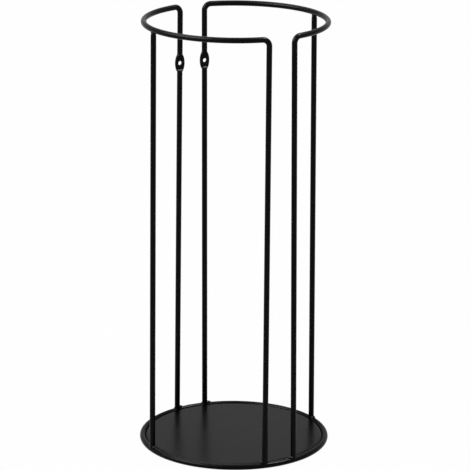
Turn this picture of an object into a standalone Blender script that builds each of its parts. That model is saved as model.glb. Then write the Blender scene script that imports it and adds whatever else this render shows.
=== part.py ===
"""Free-standing wire holder for three spare toilet rolls.

Two bent wire loops make the open top ring, the front pair of legs and the rear pair of legs.
A straight upright stands at each side, and all six wires end on the base's rim, a wire ring
that stands on the floor and holds the plate under the rolls just below its own crest.
The rear legs are pressed flat just below the ring and pierced, so that two screws can hold
the holder to a wall.

Axes: +Z is up, -Y is the front and +Y is the wall side. The origin is on the floor, at the
centre of the base. Lengths are in metres.
"""

import math

import bmesh
import bpy
from mathutils import Vector

MM = 0.001
QUARTER_TURN = math.pi / 2

# Wire cage
WIRE_DIAMETER = 4.0 * MM
RING_RADIUS = 65.0 * MM
RING_HEIGHT = 311.3 * MM
BEND_RADIUS = 4.8 * MM
LEG_SPACING_AT_RING = 20.0 * MM
LEG_SPACING_AT_BASE = 23.6 * MM
LEG_SPLAY = 2.0 * MM
# The uprights' place round the axis, counted from the front
UPRIGHT_ANGLE = math.radians(91)

# Base: the rim is a ring of wire, and the plate's top lies below the rim's crest
RIM_DIAMETER = 4.0 * MM
PLATE_THICKNESS = 1.2 * MM
PLATE_EDGE_ROUND = 0.25 * MM
PLATE_DROP = 0.6 * MM

# Pressed and pierced eyelets on the rear legs
EYELET_DROP = 41.7 * MM
EYELET_WIDTH = 7.7 * MM
EYELET_HEIGHT = 15.0 * MM
EYELET_THICKNESS = 1.7 * MM
EYELET_FLAT_HEIGHT = 9.4 * MM
EYELET_SHOULDER = 0.8 * MM
EYELET_HOLE_DIAMETER = 3.0 * MM

# Room kept between neighbouring pieces where the real ones are welded
WELD_GAP = 0.3 * MM
# How far a cutter reaches past what it cuts
CUT_OVERRUN = 1.0 * MM

# How finely the round shapes are divided
ARC_STEPS = 32
BEND_STEPS = 6
EYELET_STEPS = 16
WIRE_BEVEL_RESOLUTION = 6
RIM_SEGMENTS = 96
# Twice an odd number, so that the rim's section stands on a flat
RIM_SIDES = 14
HOLE_SEGMENTS = 28
SMOOTH_ANGLE = math.radians(40)

# Powder coat: colour, roughness, metallic
COAT_COLOUR = (0.010, 0.010, 0.011, 1.0)
WIRE_ROUGHNESS = 0.38
BASE_ROUGHNESS = 0.42

LEFT = -1
RIGHT = 1
MERGE_SHARE = 0.01

wire_radius = WIRE_DIAMETER / 2
rim_wire_radius = RIM_DIAMETER / 2
rim_radius = RING_RADIUS + LEG_SPLAY
rim_centre_height = rim_wire_radius * math.cos(math.pi / RIM_SIDES)
rim_crest_height = rim_centre_height + rim_wire_radius
foot_height = rim_crest_height + WELD_GAP
plate_radius = rim_radius - rim_wire_radius - WELD_GAP
plate_centre_height = rim_crest_height - PLATE_DROP - PLATE_THICKNESS / 2
leg_top_height = RING_HEIGHT - BEND_RADIUS
eyelet_height = RING_HEIGHT - EYELET_DROP
leg_angle_at_ring = math.asin(LEG_SPACING_AT_RING / 2 / RING_RADIUS)
leg_angle_at_base = math.asin(LEG_SPACING_AT_BASE / 2 / rim_radius)
merge_distance = WIRE_DIAMETER * MERGE_SHARE


def clear_scene():
    """Remove every object that the scene starts with."""
    for item in list(bpy.data.objects):
        bpy.data.objects.remove(item, do_unlink=True)


def new_collection(name):
    """Add a collection to the scene and return it."""
    collection = bpy.data.collections.new(name)
    bpy.context.scene.collection.children.link(collection)
    return collection


def move_to(item, collection):
    """Keep an object in one collection only."""
    for owner in list(item.users_collection):
        owner.objects.unlink(item)
    collection.objects.link(item)


def powder_coat(name, roughness):
    """Return a black powder coat as a Principled material."""
    material = bpy.data.materials.new(name)
    material.use_nodes = True
    shader = material.node_tree.nodes["Principled BSDF"]
    shader.inputs["Base Color"].default_value = COAT_COLOUR
    shader.inputs["Roughness"].default_value = roughness
    shader.inputs["Metallic"].default_value = 0.0
    return material


def around(side, radius, angle, height):
    """Return the point at an angle round the axis, counted from the front over one side."""
    return Vector((side * radius * math.sin(angle), -radius * math.cos(angle), height))


def leg_foot(side, rear):
    """Return the centre of a leg's lower end, just above the rim."""
    angle = math.pi - leg_angle_at_base if rear else leg_angle_at_base
    return around(side, rim_radius, angle, foot_height)


def leg_top(side, rear):
    """Return the centre of a leg's upper end, where its bend begins."""
    angle = math.pi - leg_angle_at_ring if rear else leg_angle_at_ring
    return around(side, RING_RADIUS, angle, leg_top_height)


def leg_centre(side, rear, height):
    """Return the point of a leg's centre line at a height."""
    top = leg_top(side, rear)
    foot = leg_foot(side, rear)
    return foot.lerp(top, (height - foot.z) / (top.z - foot.z))


def bend_points(side, leg_angle, turn):
    """Return the bend from a leg into the ring, from the leg up.

    turn is 1 where the ring runs on to larger angles and -1 where it runs to smaller ones.
    """
    points = []
    for step in range(BEND_STEPS + 1):
        swing = QUARTER_TURN * step / BEND_STEPS
        along = BEND_RADIUS * (1 - math.cos(swing))
        rise = BEND_RADIUS * math.sin(swing)
        angle = leg_angle + turn * along / RING_RADIUS
        points.append(around(side, RING_RADIUS, angle, leg_top_height + rise))
    return points


def arc_points(side):
    """Return the ring's arc between the front bend and the rear bend, ends left out."""
    start = leg_angle_at_ring + BEND_RADIUS / RING_RADIUS
    sweep = math.pi - 2 * start
    angles = [start + sweep * step / ARC_STEPS for step in range(1, ARC_STEPS)]
    return [around(side, RING_RADIUS, angle, RING_HEIGHT) for angle in angles]


def eyelet_reach():
    """Return how far the pressed part of a rear leg runs above and below the hole."""
    share = min(WIRE_DIAMETER / EYELET_WIDTH, 1)
    oval_reach = EYELET_HEIGHT / 2 * math.sqrt(1 - share * share)
    return max(oval_reach, EYELET_FLAT_HEIGHT / 2 + EYELET_SHOULDER)


def eyelet_points(side):
    """Return the stations along a rear leg that the press moves, from the top down."""
    reach = eyelet_reach()
    heights = [
        eyelet_height + reach - 2 * reach * step / EYELET_STEPS for step in range(EYELET_STEPS + 1)
    ]
    return [leg_centre(side, True, height) for height in heights]


def loop_path(side):
    """Return one loop's centre line, from the front foot over the ring to the rear foot."""
    path = [leg_foot(side, False)]
    path += bend_points(side, leg_angle_at_ring, 1)
    path += arc_points(side)
    path += reversed(bend_points(side, math.pi - leg_angle_at_ring, -1))
    path += eyelet_points(side)
    path.append(leg_foot(side, True))
    return path


def wire_curve(name, path, material, collection):
    """Add a round wire with closed ends along a path."""
    curve = bpy.data.curves.new(name, "CURVE")
    curve.dimensions = "3D"
    curve.bevel_depth = wire_radius
    curve.bevel_resolution = WIRE_BEVEL_RESOLUTION
    curve.use_fill_caps = True
    spline = curve.splines.new("POLY")
    spline.points.add(len(path) - 1)
    for point, place in zip(spline.points, path):
        point.co = (*place, 1)
    spline.use_smooth = True
    curve.materials.append(material)
    wire = bpy.data.objects.new(name, curve)
    collection.objects.link(wire)
    return wire


def curve_to_mesh(wire):
    """Replace a curve object by a closed mesh object of the same name and place."""
    bpy.context.view_layer.update()
    evaluated = wire.evaluated_get(bpy.context.evaluated_depsgraph_get())
    mesh = bpy.data.meshes.new_from_object(evaluated)
    weld = bmesh.new()
    weld.from_mesh(mesh)
    bmesh.ops.remove_doubles(weld, verts=weld.verts, dist=merge_distance)
    bmesh.ops.recalc_face_normals(weld, faces=weld.faces)
    weld.to_mesh(mesh)
    weld.free()
    collection = wire.users_collection[0]
    name = wire.name
    matrix = wire.matrix_world.copy()
    bpy.data.objects.remove(wire, do_unlink=True)
    solid = bpy.data.objects.new(name, mesh)
    solid.matrix_world = matrix
    collection.objects.link(solid)
    return solid


def pressed_half_width(offset):
    """Return half the eyelet's width at a height offset from its centre."""
    share = min(abs(offset) / (EYELET_HEIGHT / 2), 1)
    return max(EYELET_WIDTH / 2 * math.sqrt(1 - share * share), wire_radius)


def pressed_half_thickness(offset):
    """Return half the eyelet's thickness at a height offset from its centre."""
    past_flat = abs(offset) - EYELET_FLAT_HEIGHT / 2
    share = min(max(past_flat / EYELET_SHOULDER, 0), 1)
    flat = EYELET_THICKNESS / 2
    return flat + (wire_radius - flat) * share


def press_eyelet(loop, side):
    """Press the round wire of a rear leg to an oval with two flat faces."""
    middle = leg_centre(side, True, eyelet_height)
    reach = eyelet_reach()
    for vertex in loop.data.vertices:
        offset = vertex.co.z - eyelet_height
        if vertex.co.y < 0 or abs(offset) >= reach:
            continue
        centre = leg_centre(side, True, vertex.co.z)
        spread = pressed_half_width(offset) / wire_radius
        limit = pressed_half_thickness(offset)
        vertex.co.x = centre.x + (vertex.co.x - centre.x) * spread
        vertex.co.y = middle.y + min(max(vertex.co.y - centre.y, -limit), limit)


def cylinder_cutter(name, radius, depth, centre, collection):
    """Add a hidden cylinder along Y that serves as a punch."""
    bpy.ops.mesh.primitive_cylinder_add(
        vertices=HOLE_SEGMENTS,
        radius=radius,
        depth=depth,
        location=centre,
        rotation=(QUARTER_TURN, 0, 0),
    )
    cutter = bpy.context.object
    cutter.name = name
    cutter.hide_render = True
    cutter.display_type = "WIRE"
    move_to(cutter, collection)
    return cutter


def pierce_eyelet(loop, side, cutters):
    """Punch the screw hole through the flat faces of a rear leg."""
    punch = cylinder_cutter(
        f"{loop.name}_punch",
        EYELET_HOLE_DIAMETER / 2,
        EYELET_THICKNESS + 2 * CUT_OVERRUN,
        leg_centre(side, True, eyelet_height),
        cutters,
    )
    hole = loop.modifiers.new("screw_hole", "BOOLEAN")
    hole.operation = "DIFFERENCE"
    hole.solver = "EXACT"
    hole.object = punch


def smooth_round_faces(solid):
    """Shade the round faces smooth and keep the edges of the flat ones."""
    solid.data.shade_smooth()
    solid.data.set_sharp_from_angle(angle=SMOOTH_ANGLE)


def add_loop(name, side, material, parts, cutters):
    """Add one bent wire: a front leg, half of the ring and a rear leg with its eyelet."""
    loop = curve_to_mesh(wire_curve(name, loop_path(side), material, parts))
    press_eyelet(loop, side)
    smooth_round_faces(loop)
    pierce_eyelet(loop, side, cutters)


def add_upright(name, side, material, parts):
    """Add a straight wire from the rim up to the underside of the ring."""
    foot = around(side, rim_radius, UPRIGHT_ANGLE, foot_height)
    top = around(side, RING_RADIUS, UPRIGHT_ANGLE, RING_HEIGHT - wire_radius - WELD_GAP)
    wire_curve(name, [foot, top], material, parts)


def add_base_plate(material, parts):
    """Add the flat disc that the rolls stand on, held inside the rim."""
    bpy.ops.mesh.primitive_cylinder_add(
        vertices=RIM_SEGMENTS,
        radius=plate_radius,
        depth=PLATE_THICKNESS,
        location=(0, 0, plate_centre_height),
    )
    plate = bpy.context.object
    plate.name = "base_plate"
    plate.data.materials.append(material)
    move_to(plate, parts)
    edge = plate.modifiers.new("rounded_edge", "BEVEL")
    edge.width = PLATE_EDGE_ROUND
    edge.segments = 2
    smooth_round_faces(plate)


def add_base_rim(material, parts):
    """Add the wire ring that stands on the floor, edges the plate and carries the six wires."""
    bpy.ops.mesh.primitive_torus_add(
        major_segments=RIM_SEGMENTS,
        minor_segments=RIM_SIDES,
        major_radius=rim_radius,
        minor_radius=rim_wire_radius,
        location=(0, 0, rim_centre_height),
    )
    rim = bpy.context.object
    rim.name = "base_rim"
    rim.data.materials.append(material)
    move_to(rim, parts)
    rim.data.shade_smooth()


def build():
    """Build the whole holder."""
    clear_scene()
    parts = new_collection("toilet_roll_holder")
    cutters = new_collection("cutters")
    wire_coat = powder_coat("wire_powder_coat", WIRE_ROUGHNESS)
    base_coat = powder_coat("base_powder_coat", BASE_ROUGHNESS)
    add_base_plate(base_coat, parts)
    add_base_rim(base_coat, parts)
    add_loop("left_loop", LEFT, wire_coat, parts, cutters)
    add_loop("right_loop", RIGHT, wire_coat, parts, cutters)
    add_upright("left_upright", LEFT, wire_coat, parts)
    add_upright("right_upright", RIGHT, wire_coat, parts)


build()
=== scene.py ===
import logging
import math
from dataclasses import dataclass, field
from enum import Enum, IntEnum
from typing import Any, Callable, Iterable

import bmesh
import bpy
from mathutils import Matrix, Vector


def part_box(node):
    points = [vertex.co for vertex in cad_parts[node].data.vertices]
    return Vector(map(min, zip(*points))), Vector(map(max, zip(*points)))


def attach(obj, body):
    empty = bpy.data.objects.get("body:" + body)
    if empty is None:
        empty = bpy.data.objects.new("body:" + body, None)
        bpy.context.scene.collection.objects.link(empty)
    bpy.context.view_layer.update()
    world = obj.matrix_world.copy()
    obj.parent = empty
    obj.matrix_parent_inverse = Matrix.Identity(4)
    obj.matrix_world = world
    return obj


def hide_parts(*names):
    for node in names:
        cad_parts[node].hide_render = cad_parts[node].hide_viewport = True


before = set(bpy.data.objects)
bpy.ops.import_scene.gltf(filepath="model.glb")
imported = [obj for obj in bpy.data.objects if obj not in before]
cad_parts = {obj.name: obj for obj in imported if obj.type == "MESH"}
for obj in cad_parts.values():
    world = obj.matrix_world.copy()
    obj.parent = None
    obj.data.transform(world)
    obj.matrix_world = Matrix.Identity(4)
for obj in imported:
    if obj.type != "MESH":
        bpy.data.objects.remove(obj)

log = logging.getLogger("roll_holder")

Triple = tuple[float, float, float]
Colour = tuple[float, float, float, float]

MM = 0.001
QUARTER_TURN = math.pi / 2
UP = Vector((0, 0, 1))
UNTURNED: Triple = (0, 0, 0)
SAME_PLACE = 0.005 * MM
SAME_SECTION = 0.01 * MM
SMOOTH_ANGLE = math.radians(40)
UNIT_BALL_RADIUS = 0.5
BODY = "root"


class Side(Enum):
    """The two mirrored halves of the cage, with the sign of their X."""

    LEFT = -1
    RIGHT = 1


class Row(Enum):
    """The two ends of a loop: its front leg and its rear leg."""

    FRONT = "front"
    REAR = "rear"


class Slot(Enum):
    """The record's material slots."""

    WIRE = "wire_coat"
    BASE = "base_coat"


class MixSocket(IntEnum):
    """The numbers of a Mix node's sockets for colours."""

    FACTOR = 0
    FIRST = 6
    SECOND = 7
    RESULT = 2


class Sock:
    """A shader socket that takes part in Python arithmetic by adding Math nodes."""

    def __init__(self, shader: "Shader", socket: bpy.types.NodeSocket) -> None:
        """Wrap a socket of a shader's tree."""
        self.shader = shader
        self.socket = socket

    def maths(self, operation: str, first: Any, second: Any) -> "Sock":
        """Return what a Math node makes of two operands, each of them a Sock or a number."""
        return self.shader.node("ShaderNodeMath", {"operation": operation}, {0: first, 1: second})

    def __add__(self, other: Any) -> "Sock":
        """Return self + other."""
        return self.maths("ADD", self, other)

    def __radd__(self, other: Any) -> "Sock":
        """Return other + self."""
        return self.maths("ADD", other, self)

    def __sub__(self, other: Any) -> "Sock":
        """Return self - other."""
        return self.maths("SUBTRACT", self, other)

    def __rsub__(self, other: Any) -> "Sock":
        """Return other - self."""
        return self.maths("SUBTRACT", other, self)

    def __mul__(self, other: Any) -> "Sock":
        """Return self * other."""
        return self.maths("MULTIPLY", self, other)

    def __rmul__(self, other: Any) -> "Sock":
        """Return other * self."""
        return self.maths("MULTIPLY", other, self)

    def larger(self, other: Any) -> "Sock":
        """Return the larger of self and other."""
        return self.maths("MAXIMUM", self, other)


class Shader:
    """The node tree of one material or world, built from Python expressions."""

    def __init__(self, owner: Any) -> None:
        """Empty the owner's node tree and keep it.

        Args:
            owner: the material or world whose nodes are built.
        """
        owner.use_nodes = True
        self.owner = owner
        self.tree = owner.node_tree
        self.tree.nodes.clear()

    def node(
        self,
        kind: str,
        settings: dict[str, Any] | None = None,
        inputs: dict[Any, Any] | None = None,
        output: Any = 0,
    ) -> Sock:
        """Add a node, set it up and feed its sockets.

        Args:
            kind: the node's type name.
            settings: attributes of the node, set before its sockets.
            inputs: sockets by name or number, each with a value or a Sock.
            output: the name or number of the socket that is returned.

        Returns:
            The chosen output, or the node's first input where it has no output.
        """
        node = self.tree.nodes.new(kind)
        for name, value in (settings or {}).items():
            setattr(node, name, value)
        for key, value in (inputs or {}).items():
            if isinstance(value, Sock):
                self.tree.links.new(value.socket, node.inputs[key])
            else:
                node.inputs[key].default_value = value
        if not node.outputs:
            return Sock(self, node.inputs[0])
        return Sock(self, node.outputs[output])

    def coordinates(self) -> Sock:
        """Return the object's own coordinates, in metres."""
        return self.node("ShaderNodeTexCoord", output="Object")

    def noise(self, grain: float, detail: float) -> Sock:
        """Return noise from 0 to 1, in lumps of the grain's length with finer layers on them."""
        values = {"Vector": self.coordinates(), "Scale": 1 / grain, "Detail": detail}
        return self.node("ShaderNodeTexNoise", {}, values, "Fac")

    def ramp(self, value: Sock, low: float, high: float) -> Sock:
        """Return 0 below low, 1 above high and a straight line between them."""
        values = {"Value": value, "From Min": low, "From Max": high}
        return self.node("ShaderNodeMapRange", {"clamp": True}, values, "Result")

    def blend(self, factor: Sock, first: Any, second: Any) -> Sock:
        """Return the first colour where the factor is 0, and the second where it is 1."""
        inputs = {MixSocket.FACTOR: factor, MixSocket.FIRST: first, MixSocket.SECOND: second}
        return self.node("ShaderNodeMix", {"data_type": "RGBA"}, inputs, MixSocket.RESULT)

    def share_out(self, factor: Sock, first: Sock, second: Sock) -> Sock:
        """Return the first shader where the factor is 0, and the second where it is 1."""
        return self.node("ShaderNodeMixShader", {}, {0: factor, 1: first, 2: second})

    def bump(self, height: Sock, depth: float, under: Sock | None = None) -> Sock:
        """Return a normal that a height pattern tilts.

        Args:
            height: the pattern, from 0 to 1.
            depth: how high a pattern of 1 stands, in metres.
            under: the normal that it lies on, or None for the mesh's own.

        Returns:
            The tilted normal.
        """
        values = {"Height": height, "Distance": depth}
        if under is not None:
            values["Normal"] = under
        return self.node("ShaderNodeBump", {}, values, "Normal")

    def seen_directly(self) -> Sock:
        """Tell what is seen, straight or in gloss, from what only lights the holder.

        Returns:
            1 for camera, glossy and transmission rays, and 0 for the others.
        """
        path = self.tree.nodes.new("ShaderNodeLightPath")
        names = ("Is Camera Ray", "Is Glossy Ray", "Is Transmission Ray")
        camera, glossy, clear = (Sock(self, path.outputs[name]) for name in names)
        return camera.larger(glossy).larger(clear)

    def surface(self, shader: Sock) -> Any:
        """End the tree in its output node.

        Args:
            shader: what the surface or the sky shows.

        Returns:
            The material or world.
        """
        world = isinstance(self.owner, bpy.types.World)
        kind = "ShaderNodeOutputWorld" if world else "ShaderNodeOutputMaterial"
        self.node(kind, {}, {"Surface": shader})
        return self.owner


@dataclass(frozen=True)
class PowderCoat:
    """A satin black powder coat: two close blacks, orange peel, fine grit and dust specks."""

    name: str = "wire_powder_coat"
    colour: Colour = (0.0010, 0.0010, 0.0012, 1.0)
    pale_colour: Colour = (0.0024, 0.0024, 0.0027, 1.0)
    speck_colour: Colour = (0.010, 0.010, 0.011, 1.0)
    roughness: float = 0.26
    roughness_spread: float = 0.14
    index: float = 1.14
    peel_grain: float = 1.6 * MM
    peel_detail: float = 1.0
    peel_height: float = 0.008 * MM
    grit_grain: float = 0.35 * MM
    grit_detail: float = 3.0
    grit_height: float = 0.0015 * MM
    cloud_grain: float = 14.0 * MM
    cloud_detail: float = 3.0
    cloud_share: float = 0.6
    mottle_middle: float = 0.5
    pale_from: float = 0.42
    pale_to: float = 0.66
    speck_grain: float = 0.9 * MM
    speck_detail: float = 0.0
    speck_from: float = 0.70
    speck_to: float = 0.82

    def material(self) -> bpy.types.Material:
        """Mix the coat.

        Returns:
            The finish as a material.
        """
        shader = Shader(bpy.data.materials.new(self.name))
        peel = shader.noise(self.peel_grain, self.peel_detail)
        grit = shader.noise(self.grit_grain, self.grit_detail)
        cloud = shader.noise(self.cloud_grain, self.cloud_detail)
        mottle = cloud * self.cloud_share + grit * (1 - self.cloud_share)
        pale = shader.ramp(mottle, self.pale_from, self.pale_to)
        black = shader.blend(pale, self.colour, self.pale_colour)
        dust = shader.noise(self.speck_grain, self.speck_detail)
        specks = shader.ramp(dust, self.speck_from, self.speck_to)
        bump = shader.bump(grit, self.grit_height, shader.bump(peel, self.peel_height))
        values = {
            "Base Color": shader.blend(specks, black, self.speck_colour),
            "Roughness": self.roughness + (mottle - self.mottle_middle) * self.roughness_spread,
            "Metallic": 0.0,
            "IOR": self.index,
            "Normal": bump,
        }
        return shader.surface(shader.node("ShaderNodeBsdfPrincipled", {}, values))


@dataclass(frozen=True)
class BaseCoat(PowderCoat):
    """The same coat on the base, with a little less gloss."""

    name: str = "base_powder_coat"
    index: float = 1.12


class Workpiece:
    """One mesh under edit, shaped by the tools that a hand would use."""

    def __init__(self, name: str) -> None:
        """Take the primitive that was just added and open it for editing.

        Args:
            name: the piece's name.
        """
        self.item = bpy.context.object
        self.item.name = name
        self.item.data.name = name
        bpy.ops.object.transform_apply(location=True, rotation=True, scale=True)
        bpy.ops.object.mode_set(mode="EDIT")

    @classmethod
    def hoop(
        cls, name: str, radius: float, sides: int, centre: Vector, tilt: Triple = UNTURNED
    ) -> "Workpiece":
        """Start from an open circle.

        Args:
            name: the piece's name.
            radius: the circle's radius.
            sides: how many edges it has.
            centre: its centre.
            tilt: its rotation as Euler angles; untilted it lies flat.

        Returns:
            The new workpiece, with the circle selected.
        """
        deselect_objects()
        bpy.ops.mesh.primitive_circle_add(
            vertices=sides, radius=radius, fill_type="NOTHING", location=centre, rotation=tilt
        )
        return cls(name)

    def pick(self, test: Callable[[Vector], bool]) -> None:
        """Select some of the vertices, and nothing else.

        Args:
            test: says for a vertex's place whether it is selected.
        """
        mesh = bmesh.from_edit_mesh(self.item.data)
        for vertex in mesh.verts:
            vertex.select = test(vertex.co)
        mesh.select_mode = {"VERT"}
        mesh.select_flush_mode()
        bmesh.update_edit_mesh(self.item.data)

    def draw_out(self, offset: Vector) -> None:
        """Extrude the selected edges by an offset."""
        bpy.ops.mesh.extrude_region_move(TRANSFORM_OT_translate={"value": offset})

    def spin(self, centre: Vector, axis: Vector, angle: float, steps: int) -> None:
        """Extrude the selected edges round an axis, by the right-hand rule."""
        bpy.ops.mesh.spin(steps=steps, angle=-angle, center=centre, axis=axis)

    def turn(self, centre: Vector, angle: float) -> None:
        """Turn the selected vertices about a vertical axis, by the right-hand rule."""
        bpy.ops.transform.rotate(value=-angle, orient_axis="Z", center_override=centre)

    def stretch(self, scale: Triple, centre: Vector) -> None:
        """Scale the selected vertices about a centre."""
        bpy.ops.transform.resize(value=scale, center_override=centre)

    def merge(self) -> None:
        """Select the whole mesh and merge the vertices that lie on one another."""
        bpy.ops.mesh.select_all(action="SELECT")
        bpy.ops.mesh.remove_doubles(threshold=SAME_PLACE)

    def cap(self) -> None:
        """Close every open edge loop with a face."""
        bpy.ops.mesh.select_all(action="DESELECT")
        bpy.ops.mesh.select_mode(type="EDGE")
        bpy.ops.mesh.select_non_manifold()
        bpy.ops.mesh.fill_holes(sides=0)

    def finish(self, smooth_angle: float = SMOOTH_ANGLE) -> bpy.types.Object:
        """Merge doubles, turn the faces outwards, smooth the round ones and leave edit mode.

        Args:
            smooth_angle: faces that meet at a sharper angle keep their edge.

        Returns:
            The finished object.
        """
        self.merge()
        bpy.ops.mesh.normals_make_consistent(inside=False)
        bpy.ops.object.mode_set(mode="OBJECT")
        bpy.ops.object.shade_smooth_by_angle(angle=smooth_angle)
        return self.item


def deselect_objects() -> None:
    """Leave no object selected."""
    for item in list(bpy.context.selected_objects):
        item.select_set(False)


def apply_modifiers(item: bpy.types.Object) -> None:
    """Apply all of an object's modifiers in their order, and leave it selected.

    Args:
        item: the object.
    """
    deselect_objects()
    item.select_set(True)
    bpy.context.view_layer.objects.active = item
    for modifier in list(item.modifiers):
        bpy.ops.object.modifier_apply(modifier=modifier.name)


def mount(
    item: bpy.types.Object, material: bpy.types.Material, nodes: Iterable[str] = ()
) -> None:
    """Dress a finished piece, fix it to the holder's body and report it.

    Args:
        item: the piece.
        material: its finish.
        nodes: the solids that it stands for.
    """
    item.data.materials.clear()
    item.data.materials.append(material)
    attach(item, BODY)
    if nodes:
        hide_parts(*nodes)
    size = " x ".join(f"{(max(values) - min(values)) / MM:.1f}" for values in spans(item))
    log.info("%s: %d faces, %s mm", item.name, len(item.data.polygons), size)


def spans(item: bpy.types.Object) -> list[list[float]]:
    """Return the X, the Y and the Z values of an object's vertices."""
    return [[vertex.co[axis] for vertex in item.data.vertices] for axis in range(3)]


def around(side: Side, radius: float, angle: float, height: float) -> Vector:
    """Return the point at a radius and height, at an angle from the front over one side."""
    across = side.value * radius * math.sin(angle)
    return Vector((across, -radius * math.cos(angle), height))


def onward(side: Side, angle: float) -> Vector:
    """Return the direction in which that angle grows round the axis."""
    return Vector((side.value * math.cos(angle), math.sin(angle), 0))


@dataclass
class Base:
    """The wire rim that stands on the floor, and the plate welded inside it."""

    rim_wire_radius: float = 2.0 * MM
    rim_steps: int = 288
    rim_sides: int = 32
    seam_reach: float = 1.2 * MM
    seam_swell: float = 1.05
    plate_bend: float = 3.0 * MM
    plate_bend_steps: int = 12
    plate_margin: float = 0.5 * MM
    plate_sides: int = 288
    plate_smooth_angle: float = math.radians(30)
    weld_overlap: float = 0.25 * MM
    plate_low: float = field(init=False)
    plate_top: float = field(init=False)
    rim_radius: float = field(init=False)

    def __post_init__(self) -> None:
        """Take the plate's heights and the rim's radius from their solids."""
        plate_low, plate_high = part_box("base_plate")
        self.plate_low = plate_low.z
        self.plate_top = plate_high.z
        self.rim_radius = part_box("base_rim")[1].x - self.rim_wire_radius

    @property
    def crest(self) -> float:
        """Return the height of the rim's crest."""
        return 2 * self.rim_wire_radius

    def rim(self) -> bpy.types.Object:
        """Bend the rim's wire into a ring and swell it a little where its ends are welded.

        Returns:
            The finished rim.
        """
        centre = Vector((0, self.rim_radius, self.rim_wire_radius))
        piece = Workpiece.hoop(
            "rim_wire", self.rim_wire_radius, self.rim_sides, centre, (0, QUARTER_TURN, 0)
        )
        piece.spin(Vector((0, 0, centre.z)), UP, math.tau, self.rim_steps)
        piece.merge()
        piece.pick(lambda place: place.y > 0 and abs(place.x) < self.seam_reach / 2)
        outermost = Vector((0, self.rim_radius + self.rim_wire_radius, 0))
        piece.stretch((1, self.seam_swell, self.seam_swell), outermost)
        return piece.finish()

    def plate_section(self) -> list[tuple[float, float]]:
        """Return the plate's rings, from its underside round its turned-down border to its top.

        Returns:
            The radius and the height of each ring. The innermost two lie in the flat, so that
            the bend's shading stays in the border.
        """
        pivot = self.plate_top - self.plate_bend
        apart = self.rim_wire_radius + self.plate_bend - self.weld_overlap
        flat = self.rim_radius - math.sqrt(apart**2 - (self.rim_wire_radius - pivot) ** 2)
        inside = self.plate_low - pivot
        steps = self.plate_bend_steps
        turns = [QUARTER_TURN * step / steps for step in range(steps + 1)]
        bend = [(inside, turn) for turn in turns]
        bend += [(self.plate_bend, turn) for turn in reversed(turns)]
        border = [(flat + arc * math.sin(turn), pivot + arc * math.cos(turn)) for arc, turn in bend]
        inner = flat - self.plate_margin
        return [(inner, self.plate_low), *border, (inner, self.plate_top)]

    def plate(self) -> bpy.types.Object:
        """Press the round plate, with its border turned down against the rim.

        Returns:
            The finished plate.
        """
        (radius, height), *rings = self.plate_section()
        piece = Workpiece.hoop("roll_plate", radius, self.plate_sides, Vector((0, 0, height)))
        for ring_radius, ring_height in rings:
            piece.draw_out(UP * (ring_height - height))
            share = ring_radius / radius
            piece.stretch((share, share, 1), Vector((0, 0, ring_height)))
            radius, height = ring_radius, ring_height
        piece.cap()
        return piece.finish(self.plate_smooth_angle)

    def build(self, coat: bpy.types.Material) -> None:
        """Build and dress the base."""
        mount(self.rim(), coat, ["base_rim"])
        mount(self.plate(), coat, ["base_plate"])


@dataclass
class Eyelet:
    """The pressed and pierced part of a rear leg."""

    drop: float = 41.7 * MM
    width: float = 7.7 * MM
    height: float = 15.0 * MM
    thickness: float = 1.7 * MM
    flat_height: float = 9.4 * MM
    shoulder: float = 0.8 * MM
    hole_radius: float = 1.5 * MM
    hole_edge: float = 0.30 * MM
    hole_edge_steps: int = 4
    hole_sides: int = 48
    stations: int = 52

    def reach(self, wire_radius: float) -> float:
        """Find how far above and below the hole the press leaves its mark.

        Args:
            wire_radius: the radius of the wire that is pressed.

        Returns:
            The height from the hole's centre to the end of the mark.
        """
        share = 2 * wire_radius / self.width
        oval_reach = self.height / 2 * math.sqrt(1 - share * share)
        return max(oval_reach, self.flat_height / 2 + self.shoulder)

    def half_width(self, offset: float, wire_radius: float) -> float:
        """Return half the width at a height offset from the hole."""
        share = min(abs(offset) / (self.height / 2), 1)
        return max(self.width / 2 * math.sqrt(1 - share * share), wire_radius)

    def half_thickness(self, offset: float, wire_radius: float) -> float:
        """Ease the pressed flat into the round wire.

        Args:
            offset: the height above the hole's centre.
            wire_radius: the radius of the wire that is pressed.

        Returns:
            Half the thickness there.
        """
        past_flat = abs(offset) - self.flat_height / 2
        share = min(max(past_flat / self.shoulder, 0), 1)
        eased = share * share * (3 - 2 * share)
        return self.thickness / 2 + (wire_radius - self.thickness / 2) * eased


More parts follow.
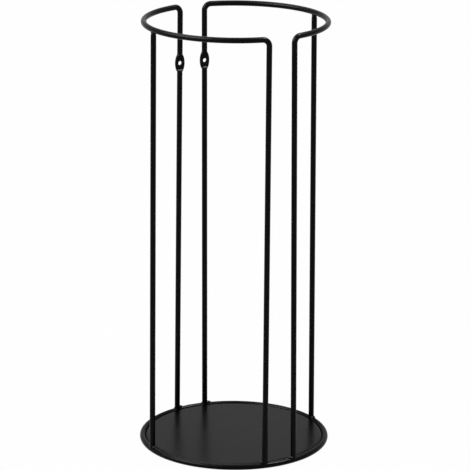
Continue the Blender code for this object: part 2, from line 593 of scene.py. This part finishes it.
@dataclass
class Cage:
    """The two bent loops, which are the ring and the four legs, and the two uprights."""

    base: Base
    eyelet: Eyelet = field(default_factory=Eyelet)
    wire_radius: float = 2.0 * MM
    bend_radius: float = 4.8 * MM
    ring_radius: float = 65.0 * MM
    spacing_at_ring: float = 20.0 * MM
    spacing_at_base: float = 23.6 * MM
    upright_angle: float = math.radians(91)
    foot_sink: float = 1.3 * MM
    top_sink: float = 0.9 * MM
    neck_height: float = 3.0 * MM
    neck_steps: int = 8
    neck_share: float = 0.74
    sides: int = 36
    ring_steps: int = 128
    bend_steps: int = 14
    ring_height: float = field(init=False)

    def __post_init__(self) -> None:
        """Take the ring's height from a loop's solid."""
        self.ring_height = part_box("left_loop")[1].z - self.wire_radius

    @property
    def leg_top_height(self) -> float:
        """Return the height at which the legs' bends begin."""
        return self.ring_height - self.bend_radius

    @property
    def eyelet_height(self) -> float:
        """Return the height of the screw holes."""
        return self.ring_height - self.eyelet.drop

    def leg_angle(self, spacing: float, radius: float, row: Row) -> float:
        """Return a leg's angle round the axis, from the legs' spacing at a radius."""
        angle = math.asin(spacing / 2 / radius)
        return math.pi - angle if row is Row.REAR else angle

    def leg_foot(self, side: Side, row: Row) -> Vector:
        """Return the centre of a leg's lower end, inside the rim's wire."""
        angle = self.leg_angle(self.spacing_at_base, self.base.rim_radius, row)
        return around(side, self.base.rim_radius, angle, self.base.crest - self.foot_sink)

    def leg_top(self, side: Side, row: Row) -> Vector:
        """Return the centre of a leg's upper end, where its bend begins."""
        angle = self.leg_angle(self.spacing_at_ring, self.ring_radius, row)
        return around(side, self.ring_radius, angle, self.leg_top_height)

    def leg_centre(self, side: Side, row: Row, height: float) -> Vector:
        """Find a point of a leg's centre line.

        Args:
            side: the half of the holder.
            row: the front leg or the rear leg.
            height: the point's height.

        Returns:
            The point.
        """
        foot = self.leg_foot(side, row)
        top = self.leg_top(side, row)
        return foot.lerp(top, (height - foot.z) / (top.z - foot.z))

    def loop(self, name: str, side: Side) -> bpy.types.Object:
        """Bend one loop, from its front foot over the ring to its rear foot.

        Args:
            name: the piece's name.
            side: the half of the holder that it makes.

        Returns:
            The finished wire.
        """
        foot = self.leg_foot(side, Row.FRONT)
        piece = Workpiece.hoop(name, self.wire_radius, self.sides, foot)
        piece.draw_out(self.leg_top(side, Row.FRONT) - foot)
        bend_angle = self.bend_radius / self.ring_radius
        start = self.leg_angle(self.spacing_at_ring, self.ring_radius, Row.FRONT)
        ahead = onward(side, start + bend_angle / 2)
        corner = self.leg_top(side, Row.FRONT) + ahead * self.bend_radius
        piece.spin(corner, UP.cross(ahead), QUARTER_TURN, self.bend_steps)
        piece.turn(corner + UP * self.bend_radius, side.value * bend_angle / 2)
        sweep = math.pi - 2 * (start + bend_angle)
        piece.spin(Vector((0, 0, self.ring_height)), UP, side.value * sweep, self.ring_steps)
        finish = math.pi - start - bend_angle
        arrival = around(side, self.ring_radius, finish, self.ring_height)
        piece.turn(arrival, side.value * bend_angle / 2)
        ahead = onward(side, finish + bend_angle / 2)
        corner = arrival - UP * self.bend_radius
        piece.spin(corner, UP.cross(ahead), QUARTER_TURN, self.bend_steps)
        heights = self.rear_stations()
        place = self.leg_top(side, Row.REAR)
        for height in heights:
            following = self.leg_centre(side, Row.REAR, height)
            piece.draw_out(following - place)
            place = following
        for height in heights[:-1]:
            self.press(piece, side, height)
        piece.cap()
        item = piece.finish()
        self.pierce(item, side)
        return item

    def rear_stations(self) -> list[float]:
        """Divide a rear leg into sections, close together where it is pressed.

        Returns:
            The sections' heights, from the top down.
        """
        reach = self.eyelet.reach(self.wire_radius)
        count = self.eyelet.stations
        heights = [self.eyelet_height + reach * (1 - 2 * step / count) for step in range(count + 1)]
        return heights + [self.leg_foot(Side.LEFT, Row.REAR).z]

    def press(self, piece: Workpiece, side: Side, height: float) -> None:
        """Press one section of a rear leg to the eyelet's width and thickness there.

        Args:
            piece: the loop that the leg belongs to.
            side: the half of the holder.
            height: the section's height.
        """
        offset = height - self.eyelet_height
        centre = self.leg_centre(side, Row.REAR, height)
        limit = self.eyelet.half_thickness(offset, self.wire_radius)
        spread = self.eyelet.half_width(offset, self.wire_radius) / self.wire_radius

        def at_station(place: Vector) -> bool:
            """Say whether a vertex belongs to this section."""
            return place.y > 0 and abs(place.z - height) < SAME_SECTION

        piece.pick(at_station)
        piece.stretch((spread, 1, 1), centre)
        for outward in (-1, 1):
            face = centre + Vector((0, outward * limit, 0))
            piece.pick(lambda place: at_station(place) and (place.y - face.y) * outward > 0)
            piece.stretch((1, 0, 1), face)

    def pierce(self, item: bpy.types.Object, side: Side) -> None:
        """Punch the screw hole, with rounded edges, through the eyelet.

        Args:
            item: the loop's wire.
            side: the half of the holder that it makes.
        """
        eyelet = self.eyelet
        centre = self.leg_centre(side, Row.REAR, self.eyelet_height)
        inner = eyelet.thickness / 2 - eyelet.hole_edge
        start = centre - Vector((0, inner, 0))
        tilt = (QUARTER_TURN, 0, 0)
        punch = Workpiece.hoop("punch", eyelet.hole_radius, eyelet.hole_sides, start, tilt)
        punch.draw_out(Vector((0, 2 * inner, 0)))
        self.flare(punch, centre, 1)
        punch.pick(lambda place: abs(place.y - start.y) < SAME_SECTION)
        self.flare(punch, centre, -1)
        punch.cap()
        cutter = punch.finish()
        hole = item.modifiers.new("screw_hole", "BOOLEAN")
        hole.operation = "DIFFERENCE"
        hole.solver = "EXACT"
        hole.object = cutter
        apply_modifiers(item)
        bpy.data.objects.remove(cutter, do_unlink=True)
        bpy.ops.object.shade_smooth_by_angle(angle=SMOOTH_ANGLE)

    def flare(self, punch: Workpiece, centre: Vector, outward: int) -> None:
        """Widen one end of the punch in a quarter round, and run it on past the wire.

        Args:
            punch: the punch, with the ring at that end selected.
            centre: the hole's centre.
            outward: 1 towards the back and -1 towards the front.
        """
        eyelet = self.eyelet
        radius = eyelet.hole_radius
        for step in range(1, eyelet.hole_edge_steps + 1):
            swing = QUARTER_TURN * step / eyelet.hole_edge_steps
            last = QUARTER_TURN * (step - 1) / eyelet.hole_edge_steps
            forward = eyelet.hole_edge * (math.sin(swing) - math.sin(last))
            wider = eyelet.hole_radius + eyelet.hole_edge * (1 - math.cos(swing))
            punch.draw_out(Vector((0, outward * forward, 0)))
            punch.stretch((wider / radius, 1, wider / radius), centre)
            radius = wider
        punch.draw_out(Vector((0, outward * self.wire_radius, 0)))

    def upright(self, name: str, side: Side) -> bpy.types.Object:
        """Cut one upright, with the necked end that is pressed under the ring.

        Args:
            name: the piece's name.
            side: the half of the holder that it stands in.

        Returns:
            The finished wire.
        """
        low = self.base.crest - self.foot_sink
        high = self.ring_height - self.wire_radius
        foot = around(side, self.base.rim_radius, self.upright_angle, low)
        top = around(side, self.ring_radius, self.upright_angle, high)
        run = top - foot
        piece = Workpiece.hoop(name, self.wire_radius, self.sides, foot)
        shoulder = 1 - self.neck_height / run.z
        piece.draw_out(run * shoulder)
        place = foot + run * shoulder
        rise = run * (1 - shoulder) / self.neck_steps
        width_share = 1.0
        for step in range(1, self.neck_steps + 1):
            piece.draw_out(rise)
            place = place + rise
            narrower_share = 1 - (1 - self.neck_share) * (step / self.neck_steps) ** 2
            change = narrower_share / width_share
            piece.stretch((change, change, 1), place)
            width_share = narrower_share
        piece.draw_out(UP * self.top_sink)
        piece.cap()
        return piece.finish()

    def build(self, coat: bpy.types.Material) -> None:
        """Build and dress the loops and the uprights.

        Args:
            coat: the wires' finish.
        """
        for side in Side:
            name = side.name.lower()
            mount(self.loop(f"{name}_loop_wire", side), coat, [f"{name}_loop"])
            mount(self.upright(f"{name}_upright_wire", side), coat, [f"{name}_upright"])


@dataclass
class Welds:
    """The uneven beads of the welds at the six feet and under the ring."""

    cage: Cage
    length: float = 7.8 * MM
    width: float = 3.4 * MM
    height: float = 2.8 * MM
    drift: float = 1.0 * MM
    top_length: float = 5.4 * MM
    segments: int = 48
    rings: int = 28
    lump_grain: float = 1.3 * MM
    lump_height: float = 0.32 * MM
    smooth_angle: float = math.radians(60)

    def bead(self, name: str, centre: Vector, length: float) -> bpy.types.Object:
        """Lay one bead along the rim or the ring.

        Args:
            name: the piece's name.
            centre: the bead's centre, on the joint.
            length: its length along the wire that it sits on.

        Returns:
            The bead.
        """
        deselect_objects()
        bpy.ops.mesh.primitive_uv_sphere_add(
            segments=self.segments, ring_count=self.rings, radius=UNIT_BALL_RADIUS
        )
        piece = Workpiece(name)
        piece.stretch((length, self.width, self.height), Vector())
        bpy.ops.object.mode_set(mode="OBJECT")
        item = piece.item
        item.rotation_euler.z = math.atan2(centre.y, centre.x) + QUARTER_TURN
        item.location = centre
        bpy.ops.object.transform_apply(location=True, rotation=True, scale=True)
        clouds = bpy.data.textures.new(name, "CLOUDS")
        clouds.noise_scale = self.lump_grain
        lumps = item.modifiers.new("lumps", "DISPLACE")
        lumps.texture = clouds
        lumps.texture_coords = "LOCAL"
        lumps.strength = self.lump_height
        apply_modifiers(item)
        bpy.ops.object.shade_smooth_by_angle(angle=self.smooth_angle)
        return item

    def foot(self, side: Side, angle: float) -> Vector:
        """Return the centre of a foot's bead, which reaches further past its wire on one side."""
        radius = self.cage.base.rim_radius
        return around(side, radius, angle - side.value * self.drift / radius, self.cage.base.crest)

    def build(self, coat: bpy.types.Material) -> None:
        """Weld the six feet to the rim and the two uprights to the ring.

        Args:
            coat: the beads' finish.
        """
        cage = self.cage
        for side in Side:
            name = side.name.lower()
            for row in Row:
                angle = cage.leg_angle(cage.spacing_at_base, cage.base.rim_radius, row)
                place = self.foot(side, angle)
                bead = self.bead(f"{name}_{row.value}_foot_weld", place, self.length)
                mount(bead, coat)
            place = self.foot(side, cage.upright_angle)
            mount(self.bead(f"{name}_upright_foot_weld", place, self.length), coat)
            height = cage.ring_height - cage.wire_radius
            place = around(side, cage.ring_radius, cage.upright_angle, height)
            mount(self.bead(f"{name}_upright_top_weld", place, self.top_length), coat)


@dataclass(frozen=True)
class SoftLight:
    """One large soft lamp that faces the holder, with a twin that shows only in gloss."""

    name: str
    place: Triple
    width: float
    height: float
    energy: float
    gloss_energy: float

    def build(self, aim: Vector) -> None:
        """Add the lamp and its twin, turned towards a point."""
        self.lamp(self.name, self.energy, aim)
        self.lamp(f"{self.name}_gloss", self.gloss_energy, aim).visible_diffuse = False

    def lamp(self, name: str, energy: float, aim: Vector) -> bpy.types.Object:
        """Add one area lamp.

        Args:
            name: the lamp's name.
            energy: its power, in watts.
            aim: the point that it is turned towards.

        Returns:
            The lamp's object.
        """
        lamp = bpy.data.lights.new(name, "AREA")
        lamp.shape = "RECTANGLE"
        lamp.size = self.width
        lamp.size_y = self.height
        lamp.energy = energy
        item = bpy.data.objects.new(name, lamp)
        item.location = self.place
        item.rotation_euler = (aim - Vector(self.place)).to_track_quat("-Z", "Y").to_euler()
        bpy.context.scene.collection.objects.link(item)
        return item


@dataclass
class Studio:
    """The pale floor, the soft lamps and the photograph's camera."""

    floor_radius: float = 40.0
    floor_sides: int = 96
    floor_colour: Colour = (0.88, 0.88, 0.88, 1.0)
    floor_glow_share: float = 0.97
    white_level: float = 1.0
    sky_level: float = 0.45
    lamps: tuple[SoftLight, ...] = (
        SoftLight(
            name="back_light",
            place=(0.30, 1.54, 2.48),
            width=1.0,
            height=0.7,
            energy=18.0,
            gloss_energy=80.0,
        ),
        SoftLight(
            name="left_light",
            place=(-1.92, 0.28, 1.86),
            width=1.8,
            height=0.9,
            energy=20.0,
            gloss_energy=520.0,
        ),
        SoftLight(
            name="right_light",
            place=(1.14, -0.38, 2.47),
            width=0.9,
            height=0.7,
            energy=12.0,
            gloss_energy=300.0,
        ),
    )
    lens: float = 206.81
    sensor: float = 36.0
    camera_place: Triple = (-0.9185, -1.6241, 0.6972)
    camera_azimuth: float = math.radians(29.493)
    camera_tilt: float = math.radians(16.215)
    camera_roll: float = 0.0052

    def floor(self) -> None:
        """Lay the floor, which shows as white and keeps the holder's shadow."""
        deselect_objects()
        bpy.ops.mesh.primitive_circle_add(
            vertices=self.floor_sides, radius=self.floor_radius, fill_type="NGON"
        )
        item = bpy.context.object
        item.name = "floor"
        shader = Shader(bpy.data.materials.new("pale_floor"))
        matt = shader.node("ShaderNodeBsdfDiffuse", {}, {"Color": self.floor_colour})
        glow = shader.node("ShaderNodeEmission", {}, {"Strength": self.white_level})
        share = shader.seen_directly() * self.floor_glow_share
        item.data.materials.append(shader.surface(shader.share_out(share, matt, glow)))

    def sky(self) -> None:
        """Light the room softly from all round, in front of a white background."""
        shader = Shader(bpy.data.worlds.new("studio_sky"))
        level = shader.seen_directly() * (self.white_level - self.sky_level) + self.sky_level
        white = shader.node("ShaderNodeBackground", {}, {"Strength": level})
        bpy.context.scene.world = shader.surface(white)

    def camera(self) -> None:
        """Set up the camera at the photograph's place, angle and lens."""
        camera = bpy.data.cameras.new("photo_camera")
        camera.sensor_width = self.sensor
        camera.lens = self.lens
        item = bpy.data.objects.new("photo_camera", camera)
        bpy.context.scene.collection.objects.link(item)
        item.matrix_world = (
            Matrix.Translation(self.camera_place)
            @ Matrix.Rotation(-self.camera_azimuth, 4, "Z")
            @ Matrix.Rotation(QUARTER_TURN - self.camera_tilt, 4, "X")
            @ Matrix.Rotation(self.camera_roll, 4, "Z")
        )
        bpy.context.scene.camera = item

    def build(self, aim: Vector) -> None:
        """Set up the camera, the floor, the sky and the lamps.

        Args:
            aim: the point that the lamps are turned towards.
        """
        bpy.context.scene.view_settings.view_transform = "Standard"
        self.camera()
        self.floor()
        self.sky()
        for lamp in self.lamps:
            lamp.build(aim)


def main() -> None:
    """Build the holder piece by piece."""
    logging.basicConfig(level=logging.INFO, format="%(name)s: %(message)s")
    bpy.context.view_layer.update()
    wire_coat = PowderCoat().material()
    base_coat = BaseCoat().material()
    base = Base()
    cage = Cage(base)
    Studio().build(Vector((0, 0, cage.ring_height / 2)))
    base.build(base_coat)
    cage.build(wire_coat)
    Welds(cage).build(wire_coat)


if __name__ == "__main__":
    main()
